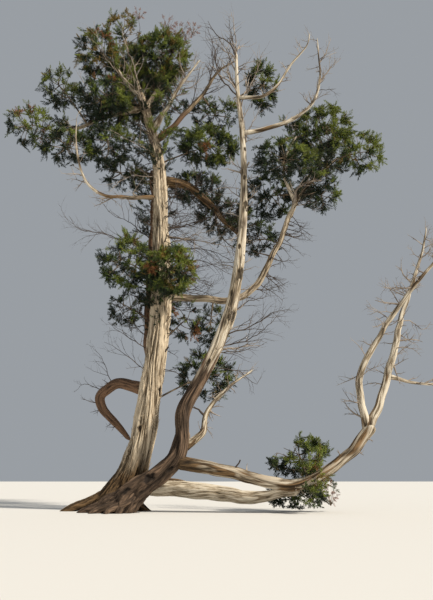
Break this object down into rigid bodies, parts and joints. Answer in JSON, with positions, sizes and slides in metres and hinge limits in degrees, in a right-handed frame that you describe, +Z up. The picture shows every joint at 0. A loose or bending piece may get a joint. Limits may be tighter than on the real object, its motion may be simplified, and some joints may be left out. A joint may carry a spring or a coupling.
{
  "type": "weathered conifer tree",
  "caption": "Weathered coastal conifer: a stringy-barked trunk and a bare, bleached one rise from a flared stool, with open tufts of fine needles and long dead limbs.",
  "frame": {"origin": "middle of the flat cut under the main trunk, at ground level", "axes": "+Z up, +X to the right and +Y away from the camera as the picture shows the tree"},
  "size_m": [6.1721, 2.2282, 7.3311],
  "materials": {
    "bark": "stringy grey-tan bark, matt",
    "brown_bark": "shaded red-brown bark, matt",
    "bleached_wood": "barkless wood, bleached and cracked along the grain",
    "sunlit_needles": "yellow-green fine needles",
    "shaded_needles": "dark green fine needles"
  },
  "bodies": {
    "root": {"main_trunk": "bark", "bare_trunk_foot": "bleached_wood", "bare_trunk": "bleached_wood", "rear_stem": "brown_bark", "reaching_limb": "bleached_wood", "reaching_limb_rise": "bleached_wood", "outer_fork_right": "bleached_wood", "outer_fork_left": "bleached_wood", "outer_side_low": "bleached_wood", "fallen_stem": "bleached_wood", "arch_limb": "brown_bark", "arch_limb_end": "brown_bark", "base_snag": "bleached_wood", "cross_limb": "bark", "right_bough": "bark", "right_bough_rise": "bark", "right_rear_bough": "bark", "mid_bough": "bark", "left_arm": "bark", "crown_leader_left": "bark", "crown_leader_right": "bark", "back_bough": "bark", "pale_limb": "bleached_wood", "dark_limb": "bark", "whip_right": "bleached_wood", "whip_right_rise": "bleached_wood", "whip_middle": "bleached_wood", "left_dead_bough": "bleached_wood", "crown_top_left": "sunlit_needles", "crown_peak": "sunlit_needles", "crown_top_right": "sunlit_needles", "crown_left": "shaded_needles", "crown_right": "shaded_needles", "crown_back": "shaded_needles", "crown_rear": "sunlit_needles", "arm_tip": "sunlit_needles", "arm_upper": "sunlit_needles", "arm_middle": "shaded_needles", "arm_inner": "shaded_needles", "trunk_left": "shaded_needles", "middle_bright": "sunlit_needles", "middle_back": "shaded_needles", "middle_low": "shaded_needles", "middle_under": "shaded_needles", "bare_tuft": "sunlit_needles", "right_top": "sunlit_needles", "right_tip": "sunlit_needles", "right_mid": "shaded_needles", "right_low": "shaded_needles", "right_back": "shaded_needles", "right_under": "shaded_needles", "right_rear": "sunlit_needles", "lower_left": "sunlit_needles", "lower_front": "sunlit_needles", "lower_left_under": "shaded_needles", "lower_right": "shaded_needles", "lower_far": "shaded_needles", "lower_back": "shaded_needles", "limb_tuft": "shaded_needles", "limb_tuft_under": "shaded_needles"}
  },
  "joints": []
}
